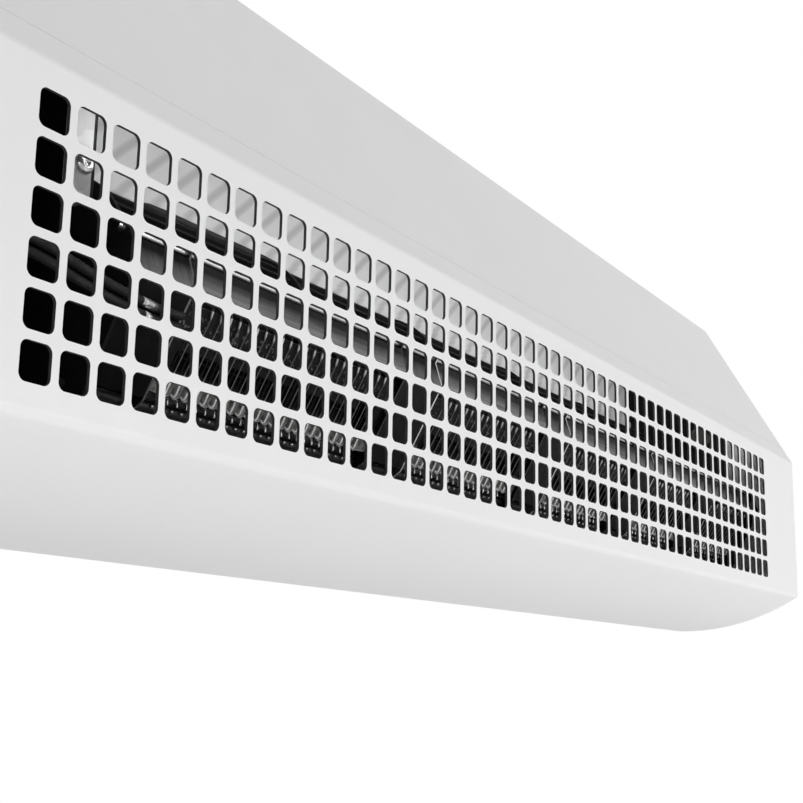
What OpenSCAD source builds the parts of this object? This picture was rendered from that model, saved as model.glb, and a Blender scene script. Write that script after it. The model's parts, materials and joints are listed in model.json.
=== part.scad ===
// Wall-hung heated air curtain: perforated front intake, open-wire heater, cross-flow fan, bottom outlet.
// Sections are drawn as [depth from the front face, height above the belly's lowest point].

/* [Casing] */
// Length of the casing between the outer faces of its end caps
casing_l = 875; // [780:1:1200]
// Depth of the casing from the front face to the back plate
casing_d = 200; // [196:1:240]
// Height from the belly's lowest point to the top
casing_h = 250; // [244:1:300]
// Thickness of the casing's sheet steel
sheet_t = 1.2; // [0.8:0.1:1.6]
// Height of the flat perforated front face
face_h = 105; // [90:1:120]
// Slope of the upper front, from the horizontal
slope_angle = 60; // [56:1:66]
// Slope of the chin where it leaves the front face, below the horizontal
chin_angle = 30; // [26:1:32]
// Radius of the curved belly
belly_r = 175; // [160:1:185]
// Outer radius of the bends at the brow and the chin
bend_r = 4; // [2.5:0.5:6]
// Outer radius of the bend at the top of the slope
top_bend_r = 8; // [4:0.5:12]
// Length of the front panel's flange that lies on the slope
flange_l = 13.5; // [11:0.5:20]
// Straight stretch between the chin's bend and the belly's curve
chin_flat = 3; // [2:0.5:6]
// Rise of the underside towards the back, from the horizontal
tilt = 8.5; // [7:0.5:10]
// Radius where the belly turns up into the tilted underside
heel_r = 60; // [40:1:70]

/* [Grille] */
// Distance between the centres of neighbouring holes
hole_pitch = 15; // [14:0.5:18]
// Side of a square hole
hole_w = 12; // [8:0.5:12.5]
// Corner radius of a hole
hole_corner_r = 2.6; // [1:0.1:4]
// Least distance from the outer columns' centres to the casing's ends
grille_end = 85; // [60:1:120]
// Least distance from the outer rows' centres to the brow and the chin
grille_edge = 15; // [12:1:25]

/* [Fan] */
// Outer radius of the impeller
fan_r = 46.5; // [40:0.5:47.5]
// Distance of the fan's axis from the casing's back
fan_y = 72.5; // [70:0.5:75]
// Height of the fan's axis above the belly's lowest point
fan_z = 116; // [112:0.5:120]
// Gap between the impeller and the scroll
scroll_gap = 9.5; // [8.5:0.5:10.5]
// Length of the motor bay at the left end
bay_l = 144; // [136:1:160]
// Distance from the fan's left wall to the impeller
coupling_l = 57; // [30:1:65]
// Distance from the fan's right wall to the casing's right end
right_l = 31; // [26:1:60]
// Thickness of the fan's side walls
wall_t = 1.5; // [1:0.1:2.5]
// Radius of the motor's and the impeller's shafts
shaft_r = 4; // [3:0.5:6]
// Radius of the motor's can
motor_r = 40; // [34:1:44]
// Length of the motor's can
motor_l = 66; // [50:1:80]
// Number of blades round the impeller
blades = 24; // [16:1:30]

/* [Heater] */
// Slope of the heater's open face, from the horizontal
heater_angle = 60.5; // [56:0.5:64]
// Depth of the heater's foremost edge behind the front face
apex_y = 22; // [16:0.5:24]
// Height of the heater's foremost edge above the belly's lowest point
apex_z = 90.3; // [88:0.1:92]
// Lengths of the modules from the left, in which proportion they fill the space between the fan's walls
module_l = [146, 116.5, 103, 89.5, 92.9];
// Gap before each module, closed by a plate
module_gap = 30; // [16:1:36]
// Distance between neighbouring turns of a heater wire
wire_pitch = 5.4; // [5.4:0.1:9]
// Diameter of the heater wire
wire_d = 1; // [0.7:0.1:1.4]
// Thickness of the insulating boards
board_t = 1.5; // [1:0.1:2]
// Radius of the rods that carry the heater
rod_r = 2; // [1.5:0.1:2.5]

/* [Outlet] */
// Width of each vane
vane_w = 18; // [12:0.5:19]
// Thickness of each vane
vane_t = 2; // [1.5:0.1:3]
// Radius of the vanes' pins
vane_pin_r = 2.5; // [1.5:0.1:3]

/* [Wall bracket] */
// Length of the wall bracket
bracket_l = 560; // [540:1:640]
// Height of the wall bracket
bracket_h = 60; // [56:1:80]
// Distance from the casing's back to the wall
bracket_gap = 5; // [5:0.5:10]
// Height of the bracket's middle above the belly's lowest point
bracket_z = 190; // [180:1:200]
// Distance between the bracket's holes along its length
bracket_hole_x = 500; // [440:1:510]
// Distance between the bracket's two rows of holes
bracket_hole_z = 30; // [20:1:34]
// Radius of the bracket's holes
bracket_hole_r = 3.5; // [2.5:0.1:4.5]

/* [Fits] */
// Radial clearance of shafts and pins in their bores
run_c = 0.05; // [0.02:0.01:0.1]
// Clearance between neighbouring pieces that aren't fits
gap_c = 0.3; // [0.2:0.05:0.5]

/* [Hidden] */
$fn = 64;
// Overlap where two stretches of one piece meet
lap = 0.02;
// Bends lie this far inside the flat sheet that they run into
skin = 0.001;
// Overlap of flat sheet with a bend of radius r
function lap_at(r) = 1.5 * sqrt(2 * r * skin);

// Casing outline
chin_tan = bend_r * tan(chin_turn() / 2);
chin_leg = chin_tan + chin_flat;
chin_z = chin_leg * sin(chin_angle) + belly_r * (1 - cos(chin_angle));
brow_z = chin_z + face_h;
low_y = chin_leg * cos(chin_angle) + belly_r * sin(chin_angle);
arc_start = [chin_leg * cos(chin_angle), chin_z - chin_leg * sin(chin_angle)];
brow_turn = 90 - slope_angle;
brow_tan = bend_r * tan(brow_turn / 2);
top_y = (casing_h - brow_z) / tan(slope_angle);
slope_l = (casing_h - brow_z) / sin(slope_angle);
top_turn = slope_angle;
top_tan = top_bend_r * tan(top_turn / 2);
heel_end = [low_y + heel_r * sin(tilt), heel_r * (1 - cos(tilt))];
inner_x = casing_l / 2 - sheet_t;
function chin_turn() = 90 - chin_angle;
function under_z(y) = heel_end[1] + (y - heel_end[0]) * tan(tilt);

// Wall bracket's hooks
hook_w = 24;
hook_z = 18;
hook_t = 2;
hook_in = 5;
hook_up = 8;
hook_end = 70;
function hook_places() = [-bracket_l / 2 + hook_end, 0, bracket_l / 2 - hook_end];

// Depth of the fan's axis behind the front face
axis_y = casing_d - fan_y;

// Outlet
lip_bend_r = 3;
lip_l = 12;
heel_flat = 2;
front_lip_y = heel_end[0] + heel_flat * cos(tilt) + lip_bend_r * (1 - sin(tilt));
frame_top = 24;
frame_t = 3;
scroll_shift = 2;
scroll_t = 1.2;
scroll_r = fan_r + scroll_gap;
scroll_end_angle = 20;
scroll_foot_y = axis_y - scroll_shift + scroll_r * cos(scroll_end_angle)
  - (fan_z - scroll_r * sin(scroll_end_angle) - frame_top) * tan(scroll_end_angle);
rear_lip_y = scroll_foot_y + scroll_t / cos(scroll_end_angle) + 1.5;
tongue_nose = [-27.3, -47];
tongue_nose_r = 3;
frame_y0 = front_lip_y + gap_c;
frame_y1 = rear_lip_y - gap_c;
slot_rim = 4.5;
slot_y0 = frame_y0 + slot_rim;
slot_y1 = frame_y1 - slot_rim;
vane_z = frame_top - 5;
vane_block_h = 12;
vane_end_c = 2;
vane_pin_l = 6;

// Fan zone along the length
wall_x0 = -casing_l / 2 + bay_l;
wall_x1 = casing_l / 2 - right_l;
zone_x0 = wall_x0 + wall_t;
zone_x1 = wall_x1;
fan_end_c = 6;
fan_x0 = zone_x0 + coupling_l;
fan_x1 = zone_x1 - fan_end_c;
disc_t = 2;
disc_count = 6;
hub_r = shaft_r + 6;
hub_l = 22;
hub_recess = 1;
wall_hole_r = shaft_r + 7;
bearing_l = 10;

// Front edge of the fan's side walls: round the heater, then up behind the walls' angles
wall_front = [[50.6, -4.5], [-1.5, -1.8], [-9.1, 7.6], [-13.4, 10.2], [-13.6, 14.5]];
angle_y = 44;
angle_z0 = apex_z + 25.2;
angle_z1 = brow_z + 45;
angle_w = 12;
angle_t = 1.2;

// Thermal cutouts on the fan's side walls
cutout_y = 64;
cutout_z = 150;

// Motor bay
motor_bracket_t = 2;
motor_x1 = wall_x0 - 16;
motor_x0 = motor_x1 - motor_l;
motor_boss_r = 14;
motor_boss_l = 5;
motor_hole_r = motor_boss_r + gap_c;
motor_screw_pcd_r = motor_r - 8;
motor_screw_in = 9;
m4_r = 2;
m4_head_r = 3.8;
m4_head_h = 2.4;

// Heater, in its own frame: x along the length, s down its face, w behind its face
hood_top = [-8.2, 8.65];
rod_top = [-9.4, 12.2];
rod_low = [47.5, 7];
plate_t = 1;
hood_foot = 1.4;
gap_plate_s = 43;
cradle_side = [[0, 0], [44, 0], [52, 4], [52, 11], [44, 14], [-4, 18], [-13, 16], [-13, 8.5], hood_top];
cradle_lip = [43.5, 4];
cradle_lip_w = 9;
board_s0 = 6;
board_s1 = 41;
window_s0 = 19;
window_s1 = 33;
window_end = 7;
board_w = 3;
wire_off = board_t / 2 + gap_c + wire_d / 2;
wire_end = 8;
wire_sides = 6;
tab_w = 12;

// Casing screws, the same at both ends
front_screw_z = chin_z + face_h / 2;
belly_screw_y = low_y - 32;
belly_screw = [belly_screw_y, belly_z(belly_screw_y - tab_w / 2) + sheet_t + tab_w / 2];
top_screw_ys = [top_y + 34, casing_d - 30];
back_screw_zs = [60, casing_h - 62];
function belly_z(y) = belly_r - sqrt(belly_r * belly_r - (low_y - y) * (low_y - y));
screw_hole_r = 2.2;
screw_r = 1.6;
screw_l = 8;

// Switches and cable gland in the left end cap
switch_y = 62;
switch_z = 88;
switch_pitch = 17;
rocker_count = 3;
rocker_w = 13;
rocker_h = 17;
rocker_throw = 7;
rocker_pin_r = 1.2;
switch_rim = 3;
switch_depth = 18;
bezel_t = 1.5;
gland_back = 32;
gland_y = casing_d - gland_back;
gland_z = 52;
gland_bore_r = 5;
gland_thread_r = 8;
gland_hex_r = 12;
gland_hex_h = 7;
gland_nut_h = 5;
gland_in = 14;

white = [0.9, 0.9, 0.9];
zinc = [0.68, 0.69, 0.7];
dark = [0.16, 0.16, 0.17];

// ---- Helpers ----

function polar(r, a) = [r * cos(a), r * sin(a)];
function total(list, n) = n <= 0 ? 0 : list[n - 1] + total(list, n - 1);

// Puts section coordinates in the part's frame: wall at Y = 0, bracket's middle at Z = 0
module place() {
  translate([0, -casing_d - bracket_gap, -bracket_z]) children();
}

// Draws a section between two places along the length
module along_x(x0, x1) {
  translate([x0, 0, 0]) rotate([90, 0, 90]) linear_extrude(x1 - x0) children();
}

module rod_x(r, x0, x1) {
  translate([x0, 0, 0]) rotate([0, 90, 0]) cylinder(r = r, h = x1 - x0);
}

module at(y, z) {
  translate([0, y, z]) children();
}

module ring_sector(r_in, r_out, a0, a1) {
  intersection() {
    difference() {
      circle(r_out);
      circle(r_in);
    }
    polygon(concat([[0, 0]], [for (i = [0:3]) polar(2 * r_out, a0 + (a1 - a0) * i / 3)]));
  }
}

// Bent sheet: legs of [length, turn, radius on the path], with the sheet on the path's left
module strip(legs, t, i = 0) {
  if (i < len(legs)) {
    l = legs[i][0];
    turn = legs[i][1];
    r = legs[i][2];
    before = i > 0 ? lap_at(legs[i - 1][2]) : 0;
    after = lap_at(r);
    inset = r > 0 ? after / r * 90 / PI : 0;
    translate([-before, 0]) square([l + before + after, t]);
    translate([l, 0]) {
      if (turn > 0) {
        translate([0, r]) {
          ring_sector(r - t + skin, r - skin, -90 + inset, turn - 90 - inset);
          rotate(turn) translate([0, -r]) strip(legs, t, i + 1);
        }
      }
      if (turn < 0) {
        translate([0, -r]) {
          ring_sector(r + skin, r + t - skin, 90 + turn + inset, 90 - inset);
          rotate(turn) translate([0, r]) strip(legs, t, i + 1);
        }
      }
    }
  }
}

module start(p, a) {
  translate(p) rotate(a) children();
}

// Ears inside both ends of a panel, each with the pilot hole of a casing screw; root points at the panel
module ears(p, root) {
  for (side = [-1, 1])
    translate([side * (inner_x - sheet_t / 2), p[0], p[1]]) difference() {
      translate([0, root[0] * sheet_t / 2, root[1] * sheet_t / 2]) cube(
        [sheet_t, tab_w + abs(root[0]) * sheet_t, tab_w + abs(root[1]) * sheet_t],
        center = true
      );
      rotate([0, 90, 0]) cylinder(r = screw_r + run_c, h = 2 * sheet_t, center = true);
    }
}

// ---- Casing ----

// Folded edges above and below the front panel's flat face
module front_panel_edges() {
  face_lap = 1;
  start([flange_l * cos(slope_angle), brow_z + flange_l * sin(slope_angle)], 180 + slope_angle)
    strip([[flange_l - brow_tan, brow_turn, bend_r]], sheet_t);
  start([0, chin_z + chin_tan + face_lap], -90)
    strip([[face_lap, chin_turn(), bend_r], [chin_flat, 0, 0]], sheet_t);
}

module grille_hole() {
  inner = hole_w - 2 * hole_corner_r;
  square([hole_w, inner], center = true);
  square([inner, hole_w], center = true);
  for (sx = [-1, 1], sy = [-1, 1])
    translate([sx * inner / 2, sy * inner / 2]) circle(hole_corner_r);
}

function grille_cols() = floor((casing_l - 2 * grille_end) / hole_pitch + lap) + 1;
function grille_rows() = floor((face_h - 2 * grille_edge) / hole_pitch + lap) + 1;

// The perforated face is cut as one drawing, and the folded edges join it above and below
module front_panel() {
  cols = grille_cols();
  rows = grille_rows();
  mid_z = chin_z + face_h / 2;
  face_z0 = chin_z + chin_tan;
  face_z1 = brow_z - brow_tan + lap_at(bend_r);
  color(white) place() {
    along_x(-inner_x, inner_x) front_panel_edges();
    translate([0, sheet_t, 0]) rotate([90, 0, 0]) linear_extrude(sheet_t) difference() {
      translate([-inner_x, face_z0]) square([2 * inner_x, face_z1 - face_z0]);
      for (i = [0:cols - 1], j = [0:rows - 1])
        translate([(i - (cols - 1) / 2) * hole_pitch, mid_z + (j - (rows - 1) / 2) * hole_pitch])
          grille_hole();
    }
    ears(front_ear(), [-0.5, 0]);
  }
}

module lower_panel() {
  color(white) place() {
    along_x(-inner_x, inner_x)
      start(arc_start, -chin_angle)
        strip([
          [0, chin_angle, belly_r],
          [0, tilt, heel_r],
          [heel_flat, 90 - tilt, lip_bend_r],
          [lip_l, 0, 0]
        ], sheet_t);
    ears(belly_screw, [0, -0.5]);
  }
}

module top_cover() {
  slope_leg = slope_l - top_tan - flange_l - gap_c;
  joggle = 8;
  tongue_l = flange_l - brow_tan - 1;
  color(white) place() {
    along_x(-inner_x, inner_x)
      start([casing_d, casing_h], 180) {
        strip([
          [casing_d - top_y - top_tan, top_turn, top_bend_r],
          [slope_leg, 0, 0]
        ], sheet_t);
        translate([casing_d - top_y - top_tan, top_bend_r]) rotate(top_turn)
          translate([slope_leg - joggle, sheet_t - top_bend_r]) square([joggle + tongue_l, sheet_t]);
      }
    for (p = top_ears()) ears(p, [0, 0.5]);
  }
}

module back_plate() {
  lip_tan = lip_bend_r * tan((90 + tilt) / 2);
  back_tan = bend_r * tan((90 - tilt) / 2);
  run = (casing_d - rear_lip_y) / cos(tilt);
  corner_z = under_z(casing_d);
  slot_h = 4;
  color(zinc) place() difference() {
    union() {
      along_x(-inner_x, inner_x)
        start([rear_lip_y, under_z(rear_lip_y) + lip_l], -90)
          strip([
            [lip_l - lip_tan, 90 + tilt, lip_bend_r],
            [run - lip_tan - back_tan, 90 - tilt, bend_r],
            [casing_h - sheet_t - corner_z - back_tan, 0, 0]
          ], sheet_t);
      for (p = back_ears()) ears(p, [0.5, 0]);
    }
    // Slots that hang on the bracket's hooks
    for (x = hook_places())
      translate([x - hook_w / 2 - 1, casing_d - 2 * sheet_t, bracket_z + hook_z - slot_h / 2])
        cube([hook_w + 2, 3 * sheet_t, slot_h]);
  }
}

module casing_outline() {
  chin_c = [bend_r, chin_z + chin_tan];
  brow_c = [bend_r, brow_z - brow_tan];
  top_c = [top_y + top_tan, casing_h - top_bend_r];
  back_tan = bend_r * tan((90 - tilt) / 2);
  corner_z = under_z(casing_d);
  back_c = [casing_d - bend_r, corner_z + back_tan];
  for (c = [chin_c, brow_c, back_c]) translate(c) circle(bend_r - skin);
  translate(top_c) circle(top_bend_r - skin);
  polygon([
    [0, brow_z - brow_tan], [0, chin_z + chin_tan],
    chin_c + polar(bend_r, 270 - chin_angle), arc_start, [low_y, 0], heel_end,
    back_c + polar(bend_r, tilt - 90), [casing_d, corner_z + back_tan],
    [casing_d, casing_h], [top_y + top_tan, casing_h],
    top_c + polar(top_bend_r, 90 + top_turn), brow_c + polar(bend_r, 180 - brow_turn)
  ]);
  intersection() {
    translate([low_y, belly_r]) circle(belly_r - skin);
    polygon([arc_start, [arc_start[0], -1], [low_y, -1], [low_y, 0]]);
  }
  intersection() {
    translate([low_y, heel_r]) circle(heel_r - skin);
    polygon([[low_y, 0], [low_y, -1], [heel_end[0], -1], heel_end]);
  }
}

module end_cap_plate() {
  difference() {
    linear_extrude(sheet_t) casing_outline();
    for (p = screw_places()) translate([p[0], p[1], -1]) cylinder(r = screw_hole_r, h = sheet_t + 2);
  }
}

function screw_places() = concat([front_ear()], [belly_screw], top_ears(), back_ears());
function front_ear() = [sheet_t + tab_w / 2, front_screw_z];
function top_ears() = [for (y = top_screw_ys) [y, casing_h - sheet_t - tab_w / 2]];
function back_ears() = [for (z = back_screw_zs) [casing_d - sheet_t - tab_w / 2, z]];

module end_cap_right() {
  color(white) place() translate([inner_x, 0, 0]) rotate([90, 0, 90]) end_cap_plate();
}

module end_cap_left() {
  color(white) place() difference() {
    translate([-casing_l / 2, 0, 0]) rotate([90, 0, 90]) end_cap_plate();
    translate([-casing_l / 2 - 1, switch_y - switch_well_y() / 2 - switch_rim + 1,
               switch_z - switch_well_z() / 2 - switch_rim + 1])
      cube([sheet_t + 2, switch_well_y() + 2 * switch_rim - 2, switch_well_z() + 2 * switch_rim - 2]);
    at(gland_y, gland_z) rod_x(gland_thread_r + gap_c, -casing_l / 2 - 1, -inner_x + 1);
  }
}

module casing_screws() {
  color(zinc) place()
    for (side = [-1, 1], p = screw_places())
      translate([side * casing_l / 2, p[0], p[1]]) rotate([0, side * 90, 0]) {
        cylinder(r = m4_head_r, h = m4_head_h);
        translate([0, 0, -screw_l]) cylinder(r = screw_r, h = screw_l + lap);
      }
}

// Flat bracket that is screwed to the wall, with hooks that reach into the back plate's slots
module wall_bracket() {
  color(zinc) {
    difference() {
      translate([-bracket_l / 2, -hook_t, -bracket_h / 2]) cube([bracket_l, hook_t, bracket_h]);
      for (sx = [-1, 1], sz = [-1, 1])
        translate([sx * bracket_hole_x / 2, 1, sz * bracket_hole_z / 2]) rotate([90, 0, 0])
          cylinder(r = bracket_hole_r, h = hook_t + 2);
    }
    for (x = hook_places()) {
      translate([x - hook_w / 2, -bracket_gap - sheet_t - hook_in, hook_z - hook_t / 2])
        cube([hook_w, bracket_gap + sheet_t + hook_in - hook_t + lap, hook_t]);
      translate([x - hook_w / 2, -bracket_gap - sheet_t - hook_in, hook_z - hook_t / 2])
        cube([hook_w, hook_t, hook_up]);
    }
    // Folded lips that rest against the casing's back
    for (z = [-bracket_h / 2, bracket_h / 2 - hook_t])
      translate([-bracket_l / 2, -bracket_gap, z]) cube([bracket_l, bracket_gap - hook_t + lap, hook_t]);
  }
}

// ---- Outlet ----

module outlet_frame() {
  slot_x0 = fan_x0 - vane_end_c;
  slot_x1 = fan_x1 + vane_end_c;
  color(dark) place() difference() {
    union() {
      translate([-inner_x, frame_y0, frame_top - frame_t])
        cube([2 * inner_x, frame_y1 - frame_y0, frame_t]);
      for (x = [slot_x0 - vane_pin_l - 2, slot_x1])
        translate([x, frame_y0, frame_top - vane_block_h])
          cube([vane_pin_l + 2, frame_y1 - frame_y0, vane_block_h]);
    }
    translate([slot_x0, slot_y0, frame_top - frame_t - 1])
      cube([slot_x1 - slot_x0, slot_y1 - slot_y0, frame_t + 2]);
    for (y = vane_places())
      at(y, vane_z) rod_x(vane_pin_r + run_c, slot_x0 - vane_pin_l - run_c, slot_x1 + vane_pin_l + run_c);
  }
}

function vane_places() = [slot_y0 + (slot_y1 - slot_y0) / 4, slot_y1 - (slot_y1 - slot_y0) / 4];

module vane(y) {
  color(white) place() at(y, vane_z) {
    along_x(fan_x0, fan_x1) {
      square([vane_t, vane_w - vane_t], center = true);
      for (side = [-1, 1]) translate([0, side * (vane_w - vane_t) / 2]) circle(vane_t / 2);
      circle(vane_pin_r);
    }
    rod_x(vane_pin_r, fan_x0 - vane_end_c - vane_pin_l, fan_x0 + lap);
    rod_x(vane_pin_r, fan_x1 - lap, fan_x1 + vane_end_c + vane_pin_l);
  }
}

module vane_front() {
  vane(vane_places()[0]);
}

module vane_rear() {
  vane(vane_places()[1]);
}

// ---- Air path ----

module scroll() {
  top_angle = 90;
  heading = 90 - scroll_end_angle;
  outer_r = scroll_r + scroll_t;
  foot_l = (fan_z - scroll_r * sin(scroll_end_angle) - frame_top) / cos(scroll_end_angle) + 2;
  foot = [axis_y - scroll_shift, fan_z] + polar(outer_r, -scroll_end_angle) - polar(foot_l, heading);
  color(zinc) place() along_x(zone_x0, zone_x1)
    intersection() {
      start(foot, heading) strip([[foot_l, top_angle + scroll_end_angle, outer_r]], scroll_t);
      translate([0, frame_top]) square([casing_d, casing_h]);
    }
}

// Upright sheet from the scroll's end to the top cover, with a hem folded up in front of its foot
module upper_guide() {
  hem = 3.4;
  fold_r = sheet_t + 0.2;
  flange = 10;
  lap_over_scroll = 8.2;
  foot_y = axis_y - scroll_shift - gap_c - 2 * fold_r;
  foot_z = fan_z + scroll_r - lap_over_scroll + fold_r;
  rise = casing_h - 2 * sheet_t - gap_c - fold_r - foot_z;
  color(white) place() along_x(zone_x0, zone_x1)
    start([foot_y, foot_z + hem], -90)
      strip([
        [hem, 180, fold_r],
        [rise, -90, fold_r],
        [flange, 0, 0]
      ], sheet_t);
}

module tongue() {
  foot = [slot_y0 - 0.5, frame_top];
  nose = [axis_y, fan_z] + tongue_nose - foot;
  lean = atan(-nose[0] / nose[1]);
  foot_over = 2;
  color(zinc) place() along_x(zone_x0, zone_x1)
    intersection() {
      start(foot - polar(foot_over, 90 + lean), 90 + lean)
        strip([[norm(nose) + foot_over, 84, tongue_nose_r], [8, 0, 0]], scroll_t);
      translate([0, frame_top]) square([casing_d, casing_h]);
    }
}

// Side wall of the fan's chamber, folded over where it meets the back plate
module fan_wall(x, hole_r, flange_side) {
  back_y = casing_d - sheet_t;
  flange_l = 12;
  edge_c = 8;
  place() {
    difference() {
      along_x(x, x + wall_t) polygon(concat(
        [[top_y + edge_c, casing_h - edge_c], [back_y, casing_h - edge_c], [back_y, frame_top]],
        [[low_y - 32, frame_top]], [for (p = wall_front) in_section(p)],
        [[angle_y, angle_z0], [angle_y, angle_z1]]
      ));
      at(axis_y, fan_z) rod_x(hole_r, x - 1, x + wall_t + 1);
      heater_frame() {
        for (p = [rod_top, rod_low]) translate([x - 1, p[0], p[1]]) rotate([0, 90, 0])
          cylinder(r = rod_r + run_c, h = wall_t + 2);
      }
    }
    translate([flange_side > 0 ? x : x + wall_t - flange_l, back_y - wall_t, frame_top + 16])
      cube([flange_l, wall_t, casing_h - frame_top - 60]);
  }
}

module fan_wall_left() {
  color(zinc) fan_wall(wall_x0, wall_hole_r, -1);
}

module fan_wall_right() {
  color(zinc) fan_wall(wall_x1, wall_hole_r + run_c, 1);
}

// Angle that stiffens a side wall's front edge, on the face that points away from the fan
module wall_angle(x, side) {
  far_x = x + side * angle_w;
  h = angle_z1 - angle_z0;
  place() {
    translate([min(x, far_x), angle_y, angle_z0]) cube([angle_w, angle_t, h]);
    translate([min(x, x + side * angle_t), angle_y, angle_z0]) cube([angle_t, angle_w, h]);
  }
}

module wall_angle_left() {
  color(zinc) wall_angle(wall_x0, -1);
}

module wall_angle_right() {
  color(zinc) wall_angle(wall_x1 + wall_t, 1);
}

module impeller() {
  blade_l = 9;
  blade_t = 1.2;
  disc_pitch = (fan_x1 - fan_x0 - disc_t) / (disc_count - 1);
  color(dark) place() at(axis_y, fan_z) {
    difference() {
      union() {
        along_x(fan_x0, fan_x1)
          for (i = [0:blades - 1])
            rotate(i * 360 / blades) translate([fan_r - blade_l / 2 - 1, 0]) rotate(35)
              square([blade_l, blade_t], center = true);
        for (i = [0:disc_count - 1]) {
          inner = (i == 0 || i == disc_count - 1) ? 0 : fan_r - blade_l - 3;
          along_x(fan_x0 + i * disc_pitch, fan_x0 + i * disc_pitch + disc_t)
            difference() {
              circle(fan_r);
              if (inner > 0) circle(inner);
            }
        }
        rod_x(hub_r, fan_x0, fan_x0 + hub_l);
        rod_x(hub_r, fan_x1 - hub_l, fan_x1);
      }
      rod_x(shaft_r + run_c, fan_x0 - 1, fan_x0 + hub_l + 1);
      rod_x(shaft_r + run_c, fan_x1 - hub_l - 1, fan_x1 + 1);
    }
  }
}

module impeller_shaft() {
  color(zinc) place() at(axis_y, fan_z) rod_x(shaft_r, fan_x1 - hub_l + hub_recess, wall_x1 + bearing_l);
}

// Rubber-cased bush that carries the impeller's right-hand end
module end_bearing() {
  color(dark) place() at(axis_y, fan_z) difference() {
    rod_x(wall_hole_r, wall_x1, wall_x1 + bearing_l);
    rod_x(shaft_r + run_c, wall_x1 - 1, wall_x1 + bearing_l + 1);
  }
}

module bearing_cup() {
  cup_t = 1.5;
  lug = 16;
  color(zinc) place() at(axis_y, fan_z) difference() {
    union() {
      rod_x(wall_hole_r + cup_t + run_c, wall_x1 + wall_t, wall_x1 + bearing_l + cup_t + run_c);
      translate([wall_x1 + wall_t, -wall_hole_r - lug, -8]) cube([cup_t, 2 * (wall_hole_r + lug), 16]);
    }
    rod_x(wall_hole_r + run_c, wall_x1, wall_x1 + bearing_l + run_c);
  }
}

// ---- Motor bay ----

module motor_body() {
  rim = 3;
  color(zinc) place() at(axis_y, fan_z) difference() {
    union() {
      rod_x(motor_r, motor_x0 + 8, motor_x1 - 8);
      rod_x(motor_r - rim, motor_x0, motor_x1);
      rod_x(motor_boss_r, motor_x1 - lap, motor_x1 + motor_bracket_t + motor_boss_l);
    }
    rod_x(shaft_r + run_c, motor_x0 + 6, motor_x1 + 10);
    motor_holes(m4_r + run_c, motor_x1 - motor_screw_in - 1, motor_x1 + 1);
  }
}

module motor_holes(r, x0, x1) {
  for (a = [45:90:315])
    translate([0, motor_screw_pcd_r * cos(a), motor_screw_pcd_r * sin(a)]) rod_x(r, x0, x1);
}

module motor_shaft() {
  color(zinc) place() at(axis_y, fan_z) rod_x(shaft_r, motor_x0 + 7, fan_x0 + hub_l - hub_recess);
}

module motor_bracket() {
  half = motor_r + 2;
  back_y = casing_d - sheet_t;
  foot = 26;
  color(zinc) place() difference() {
    union() {
      translate([motor_x1, axis_y - half, fan_z - half])
        cube([motor_bracket_t, back_y - axis_y + half, 2 * half]);
      translate([motor_x1 + motor_bracket_t - foot, back_y - motor_bracket_t, fan_z - half])
        cube([foot, motor_bracket_t, 2 * half]);
    }
    at(axis_y, fan_z) {
      rod_x(motor_hole_r, motor_x1 - 1, motor_x1 + motor_bracket_t + 1);
      motor_holes(m4_r + run_c, motor_x1 - 1, motor_x1 + motor_bracket_t + 1);
    }
  }
}

module motor_screws() {
  color(zinc) place() at(axis_y, fan_z) {
    motor_holes(m4_r, motor_x1 - motor_screw_in, motor_x1 + motor_bracket_t + lap);
    motor_holes(m4_head_r, motor_x1 + motor_bracket_t, motor_x1 + motor_bracket_t + m4_head_h);
  }
}

module motor_capacitor() {
  cap_r = 14;
  cap_l = 48;
  clip_t = 1;
  clip_w = 10;
  side_c = 30;
  top_c = 48;
  x = -casing_l / 2 + side_c;
  y = casing_d - sheet_t - cap_r - clip_t;
  z = casing_h - top_c;
  color(dark) place() {
    at(y, z) rod_x(cap_r, x, x + cap_l);
    translate([x + (cap_l - clip_w) / 2, y, z - cap_r / 2]) cube([clip_w, cap_r + clip_t, cap_r]);
  }
}

module terminal_block() {
  ways = 6;
  way = 9;
  h = 16;
  d = 14;
  x = -casing_l / 2 + 22;
  y = casing_d - sheet_t - d;
  z = 96;
  color(white) place() difference() {
    translate([x, y, z]) cube([ways * way, d, h]);
    for (i = [0:ways - 1]) {
      translate([x + (i + 0.5) * way, y + d - 4, z + h / 2]) rotate([90, 0, 0]) cylinder(r = 2.6, h = d);
      translate([x + (i + 0.5) * way, y + d / 2 - 2, z + h - 4]) cylinder(r = 1.5, h = 5);
    }
  }
}

module thermal_cutout(x, side) {
  disc_r = 8;
  disc_h = 6;
  cap_h = 3;
  place() translate([x, cutout_y, cutout_z]) rotate([0, side * 90, 0]) {
    cylinder(r = disc_r, h = disc_h);
    cylinder(r = disc_r - 2, h = disc_h + cap_h);
  }
}

module thermal_cutout_left() {
  color(dark) thermal_cutout(zone_x0, 1);
}

module thermal_cutout_right() {
  color(dark) thermal_cutout(zone_x1, -1);
}

module cable_gland() {
  face_x = -casing_l / 2;
  color(dark) place() at(gland_y, gland_z) difference() {
    union() {
      translate([face_x - gland_hex_h, 0, 0]) rotate([0, 90, 0])
        cylinder(r = gland_hex_r, h = gland_hex_h, $fn = 6);
      rod_x(gland_hex_r - 3, face_x - gland_hex_h - 6, face_x - gland_hex_h + lap);
      rod_x(gland_thread_r, face_x - lap, face_x + gland_in);
    }
    rod_x(gland_bore_r, face_x - 20, face_x + gland_in + 1);
  }
}

module gland_nut() {
  color(dark) place() at(gland_y, gland_z) difference() {
    translate([-inner_x, 0, 0]) rotate([0, 90, 0]) cylinder(r = gland_hex_r, h = gland_nut_h, $fn = 6);
    rod_x(gland_thread_r + run_c, -inner_x - 1, -inner_x + gland_nut_h + 1);
  }
}

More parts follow.
